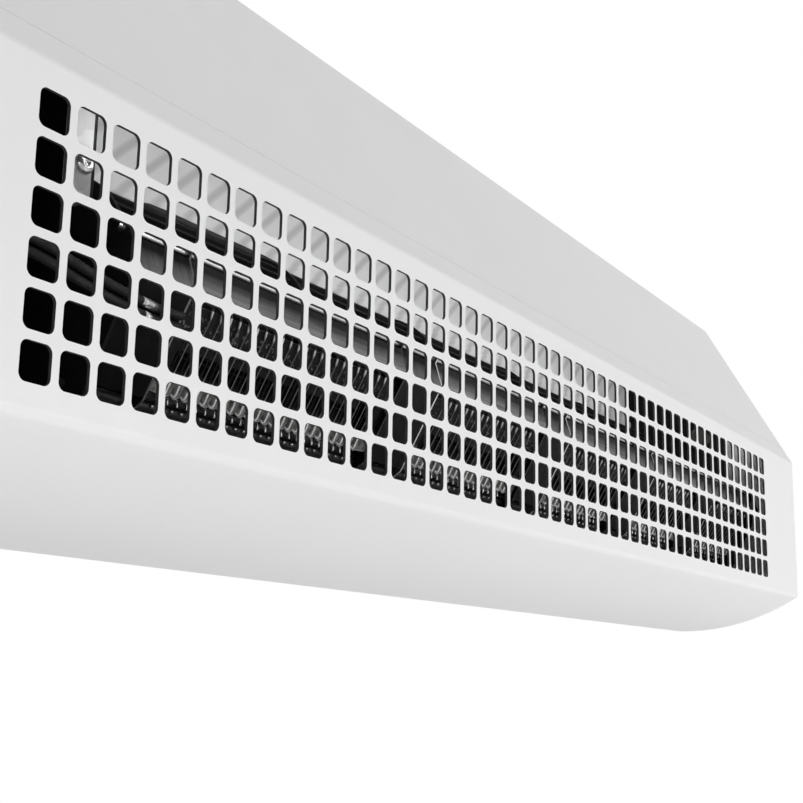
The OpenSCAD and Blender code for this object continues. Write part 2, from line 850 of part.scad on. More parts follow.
// ---- Switches ----

function switch_well_y() = rocker_count * switch_pitch - (switch_pitch - rocker_w - 2 * gap_c);
function switch_well_z() = rocker_h + 3;
function rocker_y(i) = switch_y + (i - (rocker_count - 1) / 2) * switch_pitch;
function rocker_x() = -casing_l / 2 - 0.5;

// Housing behind the left end cap, with one well for each rocker
module switch_body() {
  outer_y = switch_well_y() + 2 * switch_rim;
  outer_z = switch_well_z() + 2 * switch_rim;
  well_h = 10;
  face_x = -casing_l / 2;
  neck = 2 * gap_c + 2;
  color(dark) place() difference() {
    union() {
      translate([face_x - bezel_t, switch_y - outer_y / 2, switch_z - outer_z / 2])
        cube([bezel_t, outer_y, outer_z]);
      translate([face_x - lap, switch_y - (outer_y - neck) / 2, switch_z - (outer_z - neck) / 2])
        cube([switch_depth, outer_y - neck, outer_z - neck]);
    }
    for (i = [0:rocker_count - 1]) {
      translate([face_x - bezel_t - 1, rocker_y(i) - rocker_w / 2 - gap_c, switch_z - switch_well_z() / 2])
        cube([well_h + bezel_t + 1, rocker_w + 2 * gap_c, switch_well_z()]);
      translate([rocker_x(), rocker_y(i), switch_z]) rotate([90, 0, 0])
        cylinder(r = rocker_pin_r + run_c, h = rocker_w + 3, center = true);
    }
  }
}

// Rocker with a shallow V face, drawn at its off position
module rocker(i) {
  h = rocker_h / 2;
  tip = 3.6;
  middle = 1.8;
  heel = 1;
  belly = 4.5;
  translate([rocker_x(), rocker_y(i), switch_z]) rotate([0, rocker_throw, 0]) rotate([90, 0, 0]) {
    linear_extrude(rocker_w, center = true)
      polygon([[-tip, -h], [-tip, h], [heel, h], [belly, 0], [heel, -h]]);
    cylinder(r = rocker_pin_r, h = rocker_w + 2.6, center = true);
  }
}

module rocker_power() {
  color(dark) place() rocker(0);
}

module rocker_half_heat() {
  color(dark) place() rocker(1);
}

module rocker_full_heat() {
  color(dark) place() rocker(2);
}

// ---- Heater ----

// Turns [x, s, w] into the casing's frame
module heater_frame() {
  translate([0, apex_y, apex_z]) rotate([-heater_angle, 0, 0]) children();
}

// Turns [s, w] into the casing's section
function in_section(p) =
  [apex_y, apex_z] + polar(p[0], -heater_angle) + polar(p[1], 90 - heater_angle);

module_count = len(module_l);
heated_l = zone_x1 - zone_x0 - 2 * gap_c - module_count * module_gap;
function share_l(n) = heated_l * total(module_l, n) / total(module_l, module_count);
function mod_l(i) = share_l(i + 1) - share_l(i);
function mod_x(i) = zone_x0 + gap_c + share_l(i) + (i + 1) * module_gap;

module heater_rod(p) {
  color(zinc) place() heater_frame()
    translate([wall_x0 - 3, p[0], p[1]]) rotate([0, 90, 0])
      cylinder(r = rod_r, h = wall_x1 - wall_x0 + wall_t + 6);
}

module heater_rod_top() {
  heater_rod(rod_top);
}

module heater_rod_bottom() {
  heater_rod(rod_low);
}

module hood_section() {
  normal = [0.72, 0.69] * plate_t;
  polygon([hood_top, [0, 0], [0, plate_t * hood_foot], hood_top + normal]);
}

// Two end plates joined by the hood above the wires and a lip below them
module heater_cradle(i) {
  x0 = mod_x(i);
  x1 = x0 + mod_l(i);
  color(zinc) place() heater_frame() {
    for (x = [x0, x1 - plate_t])
      difference() {
        along_x(x, x + plate_t) polygon(cradle_side);
        for (p = [rod_top, rod_low])
          translate([x - 1, p[0], p[1]]) rotate([0, 90, 0]) cylinder(r = rod_r + run_c, h = plate_t + 2);
      }
    along_x(x0, x1) hood_section();
    along_x(x0, x1) translate(cradle_lip) square([plate_t, cradle_lip_w]);
  }
}

module heater_board(i) {
  x0 = mod_x(i) + plate_t;
  x1 = mod_x(i) + mod_l(i) - plate_t;
  color([0.42, 0.4, 0.37]) place() heater_frame()
    translate([0, 0, board_w - board_t / 2]) linear_extrude(board_t) difference() {
      translate([x0, board_s0]) square([x1 - x0, board_s1 - board_s0]);
      translate([x0 + window_end, window_s0])
        square([x1 - x0 - 2 * window_end, window_s1 - window_s0]);
    }
}

// One turn of the wire round the board, as [share of the pitch, s, w]
function turn_points() = [
  [0, board_s1 + gap_c, board_w - wire_off],
  [0, board_s0 - gap_c, board_w - wire_off],
  [0.1, board_s0 - gap_c - wire_off, board_w],
  [0.2, board_s0 - gap_c, board_w + wire_off],
  [0.8, board_s1 + gap_c, board_w + wire_off],
  [0.9, board_s1 + gap_c + wire_off, board_w]
];
function turns(i) = floor((mod_l(i) - 2 * wire_end) / wire_pitch);
function wire_points(i) =
  let (n = turns(i), x0 = mod_x(i) + (mod_l(i) - n * wire_pitch) / 2)
  [for (k = [0:n - 1], p = turn_points()) [x0 + (k + p[0]) * wire_pitch, p[1], p[2]]];

function unit(v) = v / norm(v);
function ring_at(path, j, r, sides) =
  let (
    n = len(path),
    t = unit(path[min(j + 1, n - 1)] - path[max(j - 1, 0)]),
    u = unit(cross(t, [1, 0, 0])),
    v = cross(t, u)
  )
  [for (k = [0:sides - 1]) path[j] + r * (cos(k * 360 / sides) * u + sin(k * 360 / sides) * v)];

module tube(path, r, sides) {
  n = len(path);
  points = [for (j = [0:n - 1]) each ring_at(path, j, r, sides)];
  walls = [for (j = [0:n - 2], k = [0:sides - 1])
    let (a = j * sides + k, b = j * sides + (k + 1) % sides)
    each [[a, b, b + sides], [a, b + sides, a + sides]]];
  caps = [for (k = [1:sides - 2])
    each [[0, k + 1, k], [(n - 1) * sides, (n - 1) * sides + k, (n - 1) * sides + k + 1]]];
  polyhedron(points = points, faces = concat(walls, caps), convexity = 10);
}

// Least gap of a wire to itself, on points along three of its turns, which are all alike
gap_steps = 8;
gap_turns = 3;
function gap_points() =
  let (path = wire_points(0), last = gap_turns * len(turn_points()) - 1)
  [for (j = [0:last - 1], f = [0:gap_steps - 1]) path[j] + (path[j + 1] - path[j]) * f / gap_steps];
function least_gap() =
  let (p = gap_points(), apart = 2 * gap_steps)
  min([for (a = [0:len(p) - 1 - apart], b = [a + apart:len(p) - 1]) norm(p[a] - p[b])]) - wire_d;
echo(str("Least gap of a heater wire to itself: ", least_gap(), " mm"));

module heater_wire(i) {
  color([0.75, 0.72, 0.66]) place() heater_frame() tube(wire_points(i), wire_d / 2, wire_sides);
}

// Bent plate that closes the space before a module
module gap_plate(i) {
  x1 = mod_x(i);
  x0 = x1 - module_gap;
  color([0.35, 0.35, 0.36]) place() heater_frame() along_x(x0, x1) {
    hood_section();
    square([gap_plate_s, plate_t * hood_foot]);
  }
}

module gap_plate_1() { gap_plate(0); }
module gap_plate_2() { gap_plate(1); }
module gap_plate_3() { gap_plate(2); }
module gap_plate_4() { gap_plate(3); }
module gap_plate_5() { gap_plate(4); }
module heater_cradle_1() { heater_cradle(0); }
module heater_cradle_2() { heater_cradle(1); }
module heater_cradle_3() { heater_cradle(2); }
module heater_cradle_4() { heater_cradle(3); }
module heater_cradle_5() { heater_cradle(4); }
module heater_board_1() { heater_board(0); }
module heater_board_2() { heater_board(1); }
module heater_board_3() { heater_board(2); }
module heater_board_4() { heater_board(3); }
module heater_board_5() { heater_board(4); }
module heater_wire_1() { heater_wire(0); }
module heater_wire_2() { heater_wire(1); }
module heater_wire_3() { heater_wire(2); }
module heater_wire_4() { heater_wire(3); }
module heater_wire_5() { heater_wire(4); }

front_panel();
lower_panel();
top_cover();
back_plate();
end_cap_left();
end_cap_right();
casing_screws();
wall_bracket();
outlet_frame();
vane_front();
vane_rear();
scroll();
upper_guide();
tongue();
fan_wall_left();
fan_wall_right();
wall_angle_left();
wall_angle_right();
impeller();
impeller_shaft();
end_bearing();
bearing_cup();
motor_body();
motor_shaft();
motor_bracket();
motor_screws();
motor_capacitor();
terminal_block();
thermal_cutout_left();
thermal_cutout_right();
cable_gland();
gland_nut();
switch_body();
rocker_power();
rocker_half_heat();
rocker_full_heat();
heater_rod_top();
heater_rod_bottom();
gap_plate_1();
gap_plate_2();
gap_plate_3();
gap_plate_4();
gap_plate_5();
heater_cradle_1();
heater_cradle_2();
heater_cradle_3();
heater_cradle_4();
heater_cradle_5();
heater_board_1();
heater_board_2();
heater_board_3();
heater_board_4();
heater_board_5();
heater_wire_1();
heater_wire_2();
heater_wire_3();
heater_wire_4();
heater_wire_5();
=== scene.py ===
# Looks of a wall-hung heated air curtain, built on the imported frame. Metres, row frame.

import json
import math
import random

import bpy
from mathutils import Matrix, Vector


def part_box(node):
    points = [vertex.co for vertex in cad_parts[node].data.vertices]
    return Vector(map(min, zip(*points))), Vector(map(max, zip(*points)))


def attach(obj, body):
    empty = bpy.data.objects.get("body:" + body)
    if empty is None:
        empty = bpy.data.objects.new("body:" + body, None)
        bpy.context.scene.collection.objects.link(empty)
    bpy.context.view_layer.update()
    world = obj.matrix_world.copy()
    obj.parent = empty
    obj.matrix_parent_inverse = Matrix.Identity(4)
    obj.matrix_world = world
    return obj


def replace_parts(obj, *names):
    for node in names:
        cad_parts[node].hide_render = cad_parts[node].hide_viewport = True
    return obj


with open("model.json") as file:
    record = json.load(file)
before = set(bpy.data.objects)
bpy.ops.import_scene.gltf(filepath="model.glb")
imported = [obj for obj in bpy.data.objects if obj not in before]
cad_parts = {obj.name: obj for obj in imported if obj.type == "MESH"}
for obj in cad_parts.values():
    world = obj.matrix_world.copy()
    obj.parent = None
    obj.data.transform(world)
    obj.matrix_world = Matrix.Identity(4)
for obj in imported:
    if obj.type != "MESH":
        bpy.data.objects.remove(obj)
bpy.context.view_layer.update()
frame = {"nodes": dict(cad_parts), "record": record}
nodes = frame["nodes"]

# ---- Camera ----

CAMERA_AT = (-0.60457, -0.47881, -0.23402)
CAMERA_RIGHT = (0.5183678, -0.85496702, 0.01806168)
CAMERA_DOWN = (0.18679363, 0.09259189, -0.97802601)
CAMERA_AHEAD = (0.83450762, 0.510351, 0.20769904)
LENS_MM = 59.198
SENSOR_MM = 36.0


def make_camera():
    data = bpy.data.cameras.new("camera")
    data.lens = LENS_MM
    data.sensor_width = SENSOR_MM
    data.clip_start = 0.01
    cam = bpy.data.objects.new("camera", data)
    bpy.context.scene.collection.objects.link(cam)
    right, down, ahead = Vector(CAMERA_RIGHT), Vector(CAMERA_DOWN), Vector(CAMERA_AHEAD)
    turn = Matrix((right, -down, -ahead)).transposed().to_4x4()
    cam.matrix_world = Matrix.Translation(CAMERA_AT) @ turn
    bpy.context.scene.camera = cam


# ---- The heater's own frame: x along the length, s down its face, w behind its face, in mm ----

HEATER_ANGLE = math.radians(60.5)
APEX = (22.0, 90.3)
SECTION_ORIGIN = (205.0, 190.0)
DOWN_FACE = (0.0, math.cos(HEATER_ANGLE), -math.sin(HEATER_ANGLE))
BEHIND_FACE = (0.0, math.sin(HEATER_ANGLE), math.cos(HEATER_ANGLE))


def heater_point(x, s, w):
    y = APEX[0] - SECTION_ORIGIN[0] + s * DOWN_FACE[1] + w * BEHIND_FACE[1]
    z = APEX[1] - SECTION_ORIGIN[1] + s * DOWN_FACE[2] + w * BEHIND_FACE[2]
    return (x / 1000, y / 1000, z / 1000)


def down_face_at(s):
    """Distance along DOWN_FACE, in the row frame, of a point s down the heater's face."""
    x, y, z = heater_point(0, s, 0)
    return y * DOWN_FACE[1] + z * DOWN_FACE[2]


def behind_face_at(w):
    """Distance along BEHIND_FACE, in the row frame, of a point w behind the heater's face."""
    x, y, z = heater_point(0, 0, w)
    return y * BEHIND_FACE[1] + z * BEHIND_FACE[2]


# ---- Materials ----


class Nodes:
    """A node tree being built for one material."""

    @classmethod
    def of(cls, mat):
        m = cls.__new__(cls)
        m.mat, m.tree = mat, mat.node_tree
        m.bsdf = m.tree.nodes["Principled BSDF"]
        m.coords = m.tree.nodes["Texture Coordinate"].outputs["Object"]
        return m

    def __init__(self, name, color, roughness, metallic=0.0, specular=0.5):
        self.mat = bpy.data.materials.new(name)
        self.mat.use_nodes = True
        self.tree = self.mat.node_tree
        self.bsdf = self.tree.nodes["Principled BSDF"]
        self.bsdf.inputs["Base Color"].default_value = (*color, 1)
        self.bsdf.inputs["Roughness"].default_value = roughness
        self.bsdf.inputs["Metallic"].default_value = metallic
        self.bsdf.inputs["Specular IOR Level"].default_value = specular
        self.coords = self.add("ShaderNodeTexCoord").outputs["Object"]

    def add(self, kind, **inputs):
        node = self.tree.nodes.new(kind)
        for key, value in inputs.items():
            node.inputs[key.replace("_", " ")].default_value = value
        return node

    def link(self, a, b):
        self.tree.links.new(a, b)

    def stretched(self, scale):
        mapping = self.add("ShaderNodeMapping")
        mapping.inputs["Scale"].default_value = scale
        self.link(self.coords, mapping.inputs["Vector"])
        return mapping.outputs["Vector"]

    def noise(self, scale, detail=2.0, stretch=None, rough=0.5):
        node = self.add("ShaderNodeTexNoise", Scale=scale, Detail=detail, Roughness=rough)
        self.link(self.stretched(stretch) if stretch else self.coords, node.inputs["Vector"])
        return node.outputs["Fac"]

    def voronoi(self, scale):
        node = self.add("ShaderNodeTexVoronoi", Scale=scale)
        self.link(self.coords, node.inputs["Vector"])
        return node.outputs["Color"]

    def sheared(self, lean):
        """Coordinates whose x also moves with height."""
        parts = self.add("ShaderNodeSeparateXYZ")
        self.link(self.coords, parts.inputs[0])
        joined = self.add("ShaderNodeCombineXYZ")
        self.link(self.math("SUBTRACT", parts.outputs["X"], self.math("MULTIPLY", parts.outputs["Z"], lean)),
                  joined.inputs["X"])
        return joined.outputs[0]

    def spread(self, value, low, high, start=0.3, end=0.7):
        node = self.add("ShaderNodeMapRange")
        node.inputs["From Min"].default_value = start
        node.inputs["From Max"].default_value = end
        node.inputs["To Min"].default_value = low
        node.inputs["To Max"].default_value = high
        self.link(value, node.inputs["Value"])
        return node.outputs["Result"]

    def blend(self, fac, a, b):
        node = self.add("ShaderNodeMix")
        node.data_type = "RGBA"
        node.inputs[6].default_value = (*a, 1)
        node.inputs[7].default_value = (*b, 1)
        self.link(fac, node.inputs[0])
        return node.outputs[2]

    def color_from(self, fac, a, b):
        self.link(self.blend(fac, a, b), self.bsdf.inputs["Base Color"])

    def math(self, operation, a, b=0.0):
        node = self.add("ShaderNodeMath")
        node.operation = operation
        for place, value in enumerate((a, b)):
            if isinstance(value, (int, float)):
                node.inputs[place].default_value = value
            else:
                self.link(value, node.inputs[place])
        return node.outputs[0]

    def along(self, direction, start, end):
        """0 at start and 1 at end, where both are distances along direction in the row frame."""
        node = self.add("ShaderNodeVectorMath")
        node.operation = "DOT_PRODUCT"
        node.inputs[1].default_value = direction
        self.link(self.coords, node.inputs[0])
        return self.spread(node.outputs["Value"], 0.0, 1.0, start, end)

    def down(self, start, end):
        """0 at start and 1 at end, where both are mm down the heater's face."""
        return self.along(DOWN_FACE, down_face_at(start), down_face_at(end))

    def behind(self, start, end):
        """0 at start and 1 at end, where both are mm behind the heater's face."""
        return self.along(BEHIND_FACE, behind_face_at(start), behind_face_at(end))

    def shaded(self, fac, a, b):
        """The colour so far is multiplied by a where fac is 0 and by b where it is 1."""
        link = self.bsdf.inputs["Base Color"].links[0]
        node = self.add("ShaderNodeMix")
        node.data_type = "RGBA"
        node.blend_type = "MULTIPLY"
        node.inputs[0].default_value = 1.0
        self.link(link.from_socket, node.inputs[6])
        self.link(self.blend(fac, grey(a), grey(b)), node.inputs[7])
        self.link(node.outputs[2], self.bsdf.inputs["Base Color"])

    def mixed(self, fac, color):
        """The colour so far gives way to color where fac is 1."""
        link = self.bsdf.inputs["Base Color"].links[0]
        node = self.add("ShaderNodeMix")
        node.data_type = "RGBA"
        node.inputs[7].default_value = (*color, 1)
        self.link(fac, node.inputs[0])
        self.link(link.from_socket, node.inputs[6])
        self.link(node.outputs[2], self.bsdf.inputs["Base Color"])

    def bands(self, value, stops):
        """The colour follows value through stops, each as a value and a grey."""
        first, last = stops[0][0], stops[-1][0]
        node = self.add("ShaderNodeValToRGB")
        while len(node.color_ramp.elements) < len(stops):
            node.color_ramp.elements.new(1.0)
        for element, (at, shade) in zip(node.color_ramp.elements, stops):
            element.position = (at - first) / (last - first)
            element.color = (shade, shade, shade, 1)
        self.link(self.spread(value, 0.0, 1.0, first, last), node.inputs["Fac"])
        self.link(node.outputs["Color"], self.bsdf.inputs["Base Color"])

    def normal(self, axis):
        parts = self.add("ShaderNodeSeparateXYZ")
        self.link(self.add("ShaderNodeNewGeometry").outputs["Normal"], parts.inputs[0])
        return parts.outputs[axis]

    def roughness_from(self, value):
        self.link(value, self.bsdf.inputs["Roughness"])

    def bump(self, height, distance, strength=1.0):
        node = self.add("ShaderNodeBump", Strength=strength, Distance=distance)
        self.link(height, node.inputs["Height"])
        self.link(node.outputs["Normal"], self.bsdf.inputs["Normal"])


def grey(value, warmth=0.0):
    return (value * (1 + warmth), value, value * (1 - warmth))


def powder_coat(name, value):
    m = Nodes(name, grey(value), 0.42)
    cloud = m.noise(7.0, 3.0)
    m.color_from(m.spread(cloud, 0.0, 1.0), grey(value * 0.985), grey(value * 1.005))
    peel = m.noise(850.0, 2.0)
    m.roughness_from(m.spread(m.noise(60.0), 0.38, 0.46))
    m.bump(peel, 0.00012, 0.35)
    return m.mat


# Walls of the punched holes: how far their normal may lean to the front, the grey of the painted shade on
# them, and its fade in m
HOLE_WALL_Y = 0.4
HOLE_WALL_PAINTED_SHADE = 0.045
FADE = 0.0005
UP = (0, 0, 1)
ALONG_X = (1, 0, 0)


def punched_coat(name, value):
    """Powder coat with painted shade on the walls of its punched holes."""
    mat = powder_coat(name, value)
    m = Nodes.of(mat)
    # Painted shade on the hole walls, the faces that don't look to the front, between the grille's top and
    # bottom rows
    shaded_side_faces = m.math("LESS_THAN", m.math("ABSOLUTE", m.normal("Y")), HOLE_WALL_Y)
    above = m.along(UP, HOLES_Z[0], HOLES_Z[0] + FADE)
    below = m.along(UP, HOLES_Z[1] + FADE, HOLES_Z[1])
    m.shaded(m.math("MULTIPLY", shaded_side_faces, m.math("MULTIPLY", above, below)), 1.0, HOLE_WALL_PAINTED_SHADE)
    return mat


def sheet_steel(name, value, roughness, metallic=0.85, spangle=0.12):
    m = Nodes(name, grey(value), roughness, metallic)
    m.color_from(m.voronoi(140.0), grey(value * (1 - spangle)), grey(value * (1 + spangle)))
    m.roughness_from(m.spread(m.noise(90.0), roughness - 0.08, roughness + 0.08))
    m.bump(m.noise(260.0), 0.0001, 0.3)
    return m.mat


def drawn_steel(name, value, roughness):
    m = Nodes(name, grey(value), roughness, 1.0)
    streaks = m.noise(400.0, 2.0, stretch=(0.04, 1.0, 1.0))
    m.color_from(m.spread(streaks, 0.0, 1.0), grey(value * 0.75), grey(value))
    m.roughness_from(m.spread(streaks, roughness, roughness + 0.15))
    m.bump(streaks, 0.00004, 0.4)
    return m.mat


# Spans on the heater, in mm down its face or behind it, over which a finish changes
# The mica darkens towards its top above this span
MICA_DARK_TOP = (30, 34)
# Painted highlight along the rim of the board's toothed foot
MICA_RIM_HIGHLIGHT = (39.9, 40.6)
CURLS_START = (8, 10)
CURLS_END = (16, 14)
# Painted shade on the wire from below its crest
WIRE_PAINTED_SHADE = (7.6, 9)
# Painted shade under the hood on the wire's top
WIRE_HOOD_SHADE = (5.3, 5.8)
# Where the wire's painted shade gives way to full grey, at its hooks
WIRE_HOOKS = (31, 33)
# Painted shade on the wire's runs behind the board
WIRE_REAR_SHADE = (2.4, 2.8)
# The cradle darkens below the boards, past this span
CRADLE_DARK_FOOT = (36, 41)
# Painted shade on the gap plates below the hood's apex
GAP_PAINTED_SHADE = (0, 1.5)
# Grey of the painted shadow under the upper rod, along the tops of the hoods
ROD_SHADOW = 0.04
# Thickness of the end plates' edges, and where their finish has changed, in m: a painted highlight on the
# left plate's edges and painted shade on the right one's
PLATE_EDGE = (0.001, 0.0011)


def mica(name):
    """Mica board, darker towards its top, with a painted highlight along the rim of its foot."""
    m = Nodes(name, grey(0.2), 0.5, specular=0.15)
    flakes = m.noise(420.0, 4.0)
    m.color_from(m.spread(flakes, 0.0, 1.0), (0.14, 0.137, 0.13), (0.44, 0.43, 0.42))
    m.shaded(m.down(*MICA_DARK_TOP), 0.025, 1.0)
    # Painted highlight along the rim of the foot
    m.mixed(m.down(*MICA_RIM_HIGHLIGHT), grey(0.6))
    curls = m.spread(m.noise(600.0, 1.0), 0.0, 1.0, 0.6, 0.68)
    there = m.math("MULTIPLY", m.down(*CURLS_START), m.down(*CURLS_END))
    m.mixed(m.math("MULTIPLY", curls, there), grey(0.14))
    m.roughness_from(m.spread(m.noise(500.0), 0.35, 0.6))
    m.bump(flakes, 0.0002, 0.6)
    return m.mat


def wire_steel(name):
    """Resistance wire with painted shade: dark under the hood at its top, behind the board and over its
    window, left at full grey at its crest and hooks.
    """
    m = Nodes(name, grey(0.8), 0.3, 0.6)
    streaks = m.noise(400.0, 2.0)
    m.color_from(m.spread(streaks, 0.0, 1.0), grey(0.92), grey(1.0))
    # Painted shade below the crest
    m.shaded(m.down(*WIRE_PAINTED_SHADE), 1.0, 0.2)
    # Painted shade under the hood
    m.shaded(m.down(*WIRE_HOOD_SHADE), 0.03, 1.0)
    # Full grey again at the hooks, past the painted shade
    m.mixed(m.down(*WIRE_HOOKS), grey(0.97))
    # Painted shade behind the board
    m.mixed(m.behind(*WIRE_REAR_SHADE), grey(0.01))
    m.roughness_from(m.spread(streaks, 0.3, 0.45))
    return m.mat


def cradle_steel(name, span=None, edge=0.2):
    """Steel with a painted shadow under the rod, painted shade on its end plates' side faces, and darker
    below the boards.

    span is where the two end plates end in x, and edge the grey of the painted highlight on the left one's
    edges; the right one's edges get painted shade.
    """
    m = Nodes(name, grey(0.5), 0.4, 0.5)
    streaks = m.noise(500.0, 3.0, stretch=(0.05, 1.0, 1.0))
    m.color_from(m.spread(streaks, 0.0, 1.0), grey(0.28), grey(0.6))
    # Painted shadow under the upper rod
    m.shaded(m.along(UP, *HOOD_Z), 1.0, ROD_SHADOW)
    # Darker below the boards
    m.shaded(m.down(*CRADLE_DARK_FOOT), 1.0, 0.02)
    shaded_side_faces = m.math("GREATER_THAN", m.math("ABSOLUTE", m.normal("X")), 0.7)
    if span:
        left, right = span
        edge_t, changed = PLATE_EDGE
        # Painted highlight on the left end plate's edges, and painted shade on the right one's
        m.mixed(m.along(ALONG_X, left + changed, left + edge_t), grey(edge))
        m.mixed(m.along(ALONG_X, right - changed, right - edge_t), grey(0.06))
    # Painted shade on the faces that look along x, the end plates' sides
    m.shaded(shaded_side_faces, 1.0, 0.05)
    m.roughness_from(m.spread(m.noise(160.0), 0.34, 0.5))
    m.bump(streaks, 0.00006, 0.5)
    return m.mat


def gap_steel(name, dark):
    """The plates between the modules: painted shade below the hood's apex, its grey given by dark, with a
    grey foot on the hood.
    """
    m = Nodes(name, grey(0.3), 0.5, 0.0, 0.1)
    streaks = m.noise(500.0, 3.0, stretch=(1.0, 0.1, 0.1))
    m.color_from(m.spread(streaks, 0.0, 1.0), grey(0.2), grey(0.4))
    # Painted shadow under the upper rod
    m.shaded(m.along(UP, *HOOD_Z), 1.0, ROD_SHADOW)
    # Painted shade below the hood's apex
    m.shaded(m.down(*GAP_PAINTED_SHADE), 1.0, dark)
    m.roughness_from(m.spread(m.noise(160.0), 0.45, 0.6))
    m.bump(streaks, 0.00005, 0.4)
    return m.mat


# Streaks on the upper guide: their pitch in m, the wave texture's turn a unit at scale 1, and their lean
STREAK_PITCH = 0.0215
WAVE_RATE = 20
STREAK_SCALE = 2 * math.pi / WAVE_RATE / STREAK_PITCH
STREAK_SHEAR = 1.1

# The upper rod's greys, a painted highlight and painted reflection bands, from its underside to its top, by
# the z part of its normal
ROD_PAINTED_HIGHLIGHT = (
    (-1.0, 0.25), (-0.9, 0.02), (-0.75, 0.3), (-0.45, 1.0), (-0.3, 1.0), (-0.15, 0.02), (1.0, 0.02),
)


def guide_coat(name, value):
    """Powder coat with the soft streaks that light through a row of punched holes leaves on it."""
    mat = powder_coat(name, value)
    m = Nodes.of(mat)
    wave = m.add("ShaderNodeTexWave", Scale=STREAK_SCALE, Distortion=0.6, Detail=1.0)
    wave.bands_direction = "X"
    m.link(m.sheared(STREAK_SHEAR), wave.inputs["Vector"])
    m.shaded(m.spread(wave.outputs["Fac"], 0.0, 1.0, 0.0, 0.35), 0.72, 1.0)
    return mat


def polished_rod(name):
    m = Nodes(name, grey(0.95), 0.25, 0.75)
    streaks = m.noise(300.0, 2.0, stretch=(0.02, 1.0, 1.0))
    # Painted highlight and reflection bands set by the way the surface faces
    m.bands(m.normal("Z"), ROD_PAINTED_HIGHLIGHT)
    m.roughness_from(m.spread(streaks, 0.2, 0.3))
    return m.mat


def moulded(name, color, roughness, grain=600.0, specular=0.5):
    m = Nodes(name, color, roughness, specular=specular)
    m.color_from(m.spread(m.noise(30.0), 0.0, 1.0), tuple(c * 0.9 for c in color), color)
    m.roughness_from(m.spread(m.noise(120.0), roughness - 0.06, roughness + 0.06))
    m.bump(m.noise(grain), 0.00008, 0.4)
    return m.mat


MODULES = 5
# Heights in the row frame, in m: of the grille's holes, and of the fade of the painted shadow under the upper
# rod on the hoods
HOLES_Z = (-0.156, -0.0665)
HOOD_Z = (-0.0995, -0.0912)

MATERIALS = {
    "white_paint": powder_coat("white_paint", 0.86),
    "inner_sheet": powder_coat("inner_sheet", 0.72),
    "galvanised_steel": sheet_steel("galvanised_steel", 0.5, 0.5, metallic=0.3, spangle=0.15),
    "bright_steel": drawn_steel("bright_steel", 0.9, 0.22),
    "reflector_steel": cradle_steel("reflector_steel"),
    # Dark steel lowered to near black: partly its own dark grey, partly painted shade on the parts deep in
    # the casing
    "dull_steel": moulded("dull_steel", grey(0.008), 0.6, 200.0, 0.15),
    "mica": mica("mica"),
    "resistance_wire": wire_steel("resistance_wire"),
    "black_aluminium": moulded("black_aluminium", grey(0.016), 0.6, 300.0, 0.12),
    "white_aluminium": powder_coat("white_aluminium", 0.84),
    "black_plastic": moulded("black_plastic", grey(0.018), 0.55, specular=0.3),
    "rocker_plastic": moulded("rocker_plastic", grey(0.035), 0.35),
    "pale_plastic": moulded("pale_plastic", grey(0.7, 0.01), 0.45),
    "ceramic_dark": moulded("ceramic_dark", (0.05, 0.045, 0.04), 0.4),
    "motor_can": sheet_steel("motor_can", 0.35, 0.4, spangle=0.05),
    "rubber": moulded("rubber", grey(0.03), 0.8),
}

# Finishes of single nodes that differ from the rest of their slot
NODE_FINISHES = {
    "front_panel": punched_coat("punched_paint", 0.86),
    # The lower rod is near black
    "heater_rod_bottom": moulded("near_black_rod", grey(0.02), 0.6),
    "heater_rod_top": polished_rod("polished_rod"),
    "upper_guide": guide_coat("guide_coat", 0.78),
}
# The first module stands in the motor wall's shade
for n in range(1, MODULES + 1):
    lo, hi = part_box(f"heater_cradle_{n}")
    # plate_shade is painted shade on the gap plates, and edge the painted highlight on the left end plates'
    # edges, both dimmed in the first module
    plate_shade, edge = (0.01, 0.2) if n == 1 else (0.05, 0.95)
    NODE_FINISHES[f"gap_plate_{n}"] = gap_steel(f"gap_steel_{n}", plate_shade)
    NODE_FINISHES[f"heater_cradle_{n}"] = cradle_steel(f"cradle_steel_{n}", (lo[0], hi[0]), edge)


def dress_nodes():
    """Each CAD node takes the finish that the record's material slot names."""
    by_node = {s["node"]: s["material_slot"] for s in frame["record"]["subparts"]}
    for name, obj in nodes.items():
        obj.data.materials.clear()
        obj.data.materials.append(NODE_FINISHES.get(name, MATERIALS[by_node[name]]))


# ---- Pieces of the heater ----


def piece(name, verts, faces, slot_name, smooth=False):
    mesh = bpy.data.meshes.new(name)
    mesh.from_pydata(verts, [], faces)
    mesh.validate()
    mesh.polygons.foreach_set("use_smooth", [smooth] * len(mesh.polygons))
    mesh.materials.append(MATERIALS[slot_name])
    obj = bpy.data.objects.new(name, mesh)
    bpy.context.scene.collection.objects.link(obj)
    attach(obj, "root")
    return obj


def tube_mesh(path, radius, sides, verts, faces):
    """Adds a closed tube round a path of points in metres; radius is one value or one for each point."""
    radii = radius if isinstance(radius, list) else [radius] * len(path)
    base = len(verts)
    points = [Vector(p) for p in path]
    for j, p in enumerate(points):
        ahead = (points[min(j + 1, len(points) - 1)] - points[max(j - 1, 0)]).normalized()
        u = ahead.cross(Vector((1, 0, 0)) if abs(ahead.x) < 0.9 else Vector((0, 0, 1))).normalized()
        v = ahead.cross(u)
        for k in range(sides):
            turn = 2 * math.pi * k / sides
            verts.append(p + radii[j] * (math.cos(turn) * u + math.sin(turn) * v))
    for j in range(len(points) - 1):
        for k in range(sides):
            a, b = base + j * sides + k, base + j * sides + (k + 1) % sides
            faces.append((a, b, b + sides, a + sides))
    faces.append(tuple(base + k for k in reversed(range(sides))))
    faces.append(tuple(base + (len(points) - 1) * sides + k for k in range(sides)))


